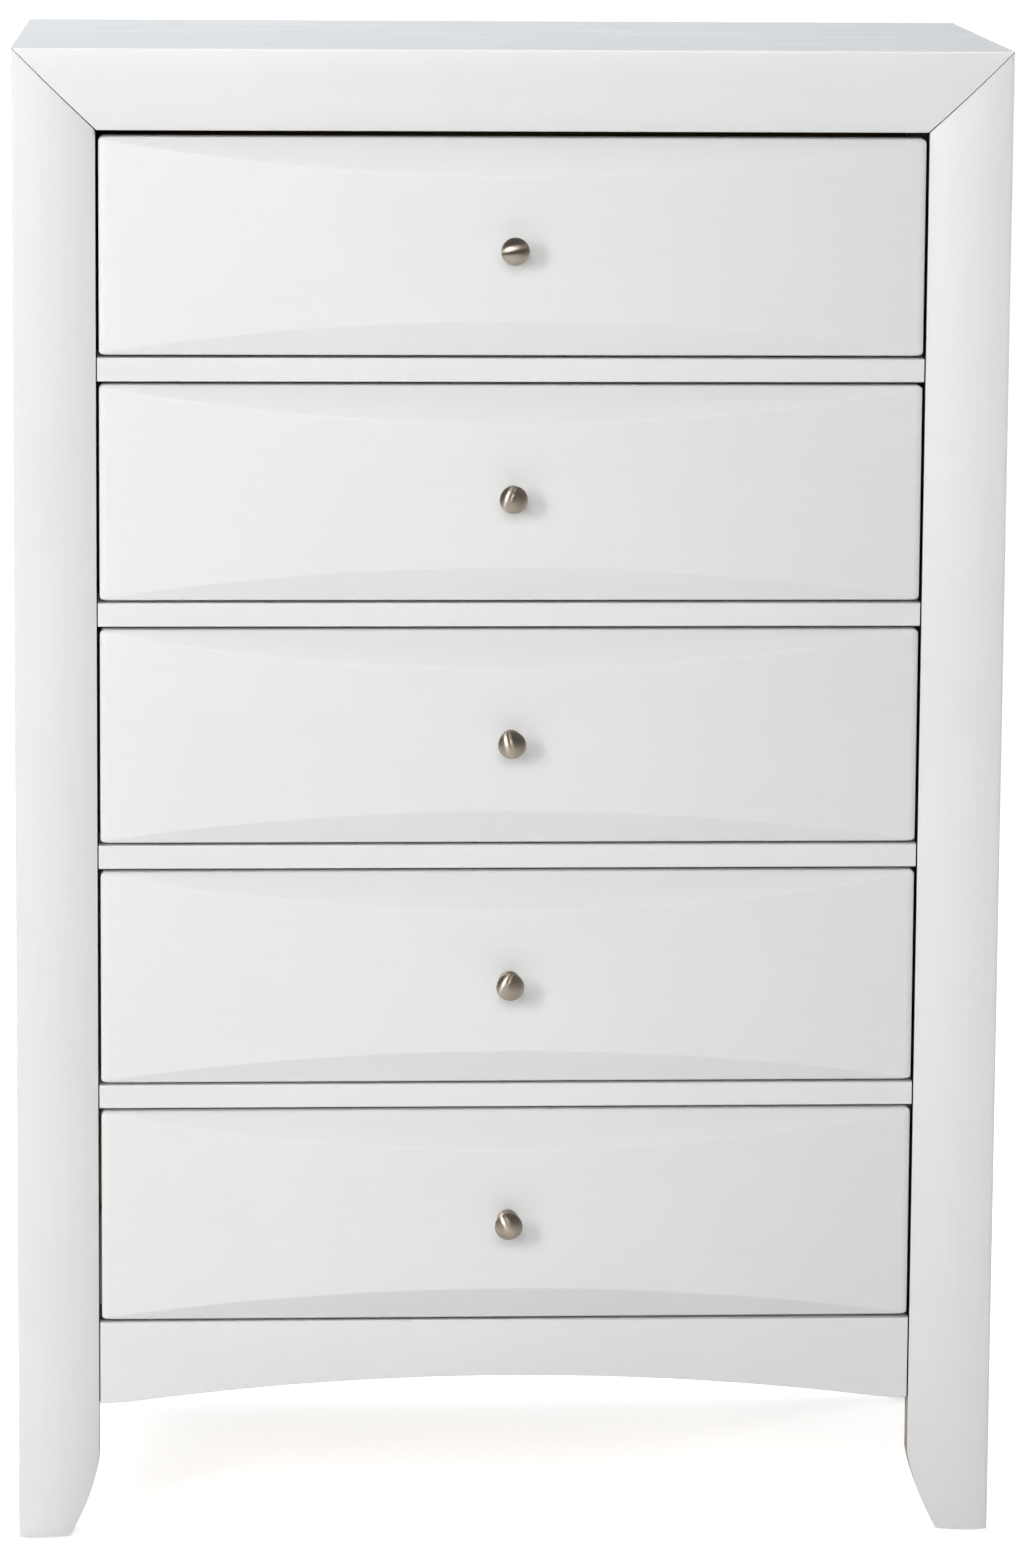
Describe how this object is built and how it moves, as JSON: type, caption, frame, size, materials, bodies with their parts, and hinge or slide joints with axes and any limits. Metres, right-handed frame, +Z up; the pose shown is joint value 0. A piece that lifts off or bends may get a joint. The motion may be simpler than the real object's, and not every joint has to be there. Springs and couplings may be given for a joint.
{
  "type": "tall chest of drawers",
  "caption": "Tall narrow chest of drawers with a mitred rounded frame, bowed bevelled drawer fronts, small round knobs, an arched apron and tapered feet.",
  "frame": {"origin": "on the floor, under the middle of the object's box, which runs from the knobs' tips to the rear legs", "axes": "+Z up, -Y out of the drawer fronts, +X to the right of a person facing the drawers"},
  "size_m": [0.813, 0.437, 1.245],
  "materials": {
    "white_paint": "satin white lacquer on wood",
    "top_paint": "thin satin white lacquer with fine wood grain showing through",
    "back_board": "plain hardboard",
    "bare_wood": "planed, unfinished wood",
    "box_wood": "planed pale wood with a clear sealer",
    "box_ply": "smooth plywood face",
    "brushed_nickel": "brushed satin nickel",
    "zinc_steel": "bright zinc-plated sheet steel",
    "white_nylon": "moulded nylon",
    "brown_plastic": "moulded plastic"
  },
  "bodies": {
    "carcass": {"top_panel": "top_paint", "left_side_panel": "white_paint", "right_side_panel": "white_paint", "left_front_post": "white_paint", "right_front_post": "white_paint", "top_front_rail": "white_paint", "drawer_rail_1": "white_paint", "drawer_rail_2": "white_paint", "drawer_rail_3": "white_paint", "drawer_rail_4": "white_paint", "front_apron": "white_paint", "left_rear_leg": "white_paint", "right_rear_leg": "white_paint", "rear_apron": "white_paint", "back_panel": "back_board", "bottom_rail": "bare_wood", "corner_blocks": "bare_wood", "glide_track_1": "zinc_steel", "glide_track_2": "zinc_steel", "glide_track_3": "zinc_steel", "glide_track_4": "zinc_steel", "glide_track_5": "zinc_steel", "track_sockets": "white_nylon", "glide_pads": "white_nylon", "foot_glides": "brown_plastic"},
    "drawer_1": {"drawer_1_front": "white_paint", "drawer_1_left_side": "box_wood", "drawer_1_right_side": "box_wood", "drawer_1_back": "box_wood", "drawer_1_bottom": "box_ply", "drawer_1_guide": "white_nylon", "drawer_1_knob": "brushed_nickel"},
    "drawer_2": {"drawer_2_front": "white_paint", "drawer_2_left_side": "box_wood", "drawer_2_right_side": "box_wood", "drawer_2_back": "box_wood", "drawer_2_bottom": "box_ply", "drawer_2_guide": "white_nylon", "drawer_2_knob": "brushed_nickel"},
    "drawer_3": {"drawer_3_front": "white_paint", "drawer_3_left_side": "box_wood", "drawer_3_right_side": "box_wood", "drawer_3_back": "box_wood", "drawer_3_bottom": "box_ply", "drawer_3_guide": "white_nylon", "drawer_3_knob": "brushed_nickel"},
    "drawer_4": {"drawer_4_front": "white_paint", "drawer_4_left_side": "box_wood", "drawer_4_right_side": "box_wood", "drawer_4_back": "box_wood", "drawer_4_bottom": "box_ply", "drawer_4_guide": "white_nylon", "drawer_4_knob": "brushed_nickel"},
    "drawer_5": {"drawer_5_front": "white_paint", "drawer_5_left_side": "box_wood", "drawer_5_right_side": "box_wood", "drawer_5_back": "box_wood", "drawer_5_bottom": "box_ply", "drawer_5_guide": "white_nylon", "drawer_5_knob": "brushed_nickel"}
  },
  "joints": [
    {"name": "drawer_1_slide", "type": "slide", "parent": "carcass", "child": "drawer_1", "axis": [0, -1, 0], "range_m": [0, 0.28]},
    {"name": "drawer_2_slide", "type": "slide", "parent": "carcass", "child": "drawer_2", "axis": [0, -1, 0], "range_m": [0, 0.28]},
    {"name": "drawer_3_slide", "type": "slide", "parent": "carcass", "child": "drawer_3", "axis": [0, -1, 0], "range_m": [0, 0.28]},
    {"name": "drawer_4_slide", "type": "slide", "parent": "carcass", "child": "drawer_4", "axis": [0, -1, 0], "range_m": [0, 0.28]},
    {"name": "drawer_5_slide", "type": "slide", "parent": "carcass", "child": "drawer_5", "axis": [0, -1, 0], "range_m": [0, 0.28]}
  ]
}
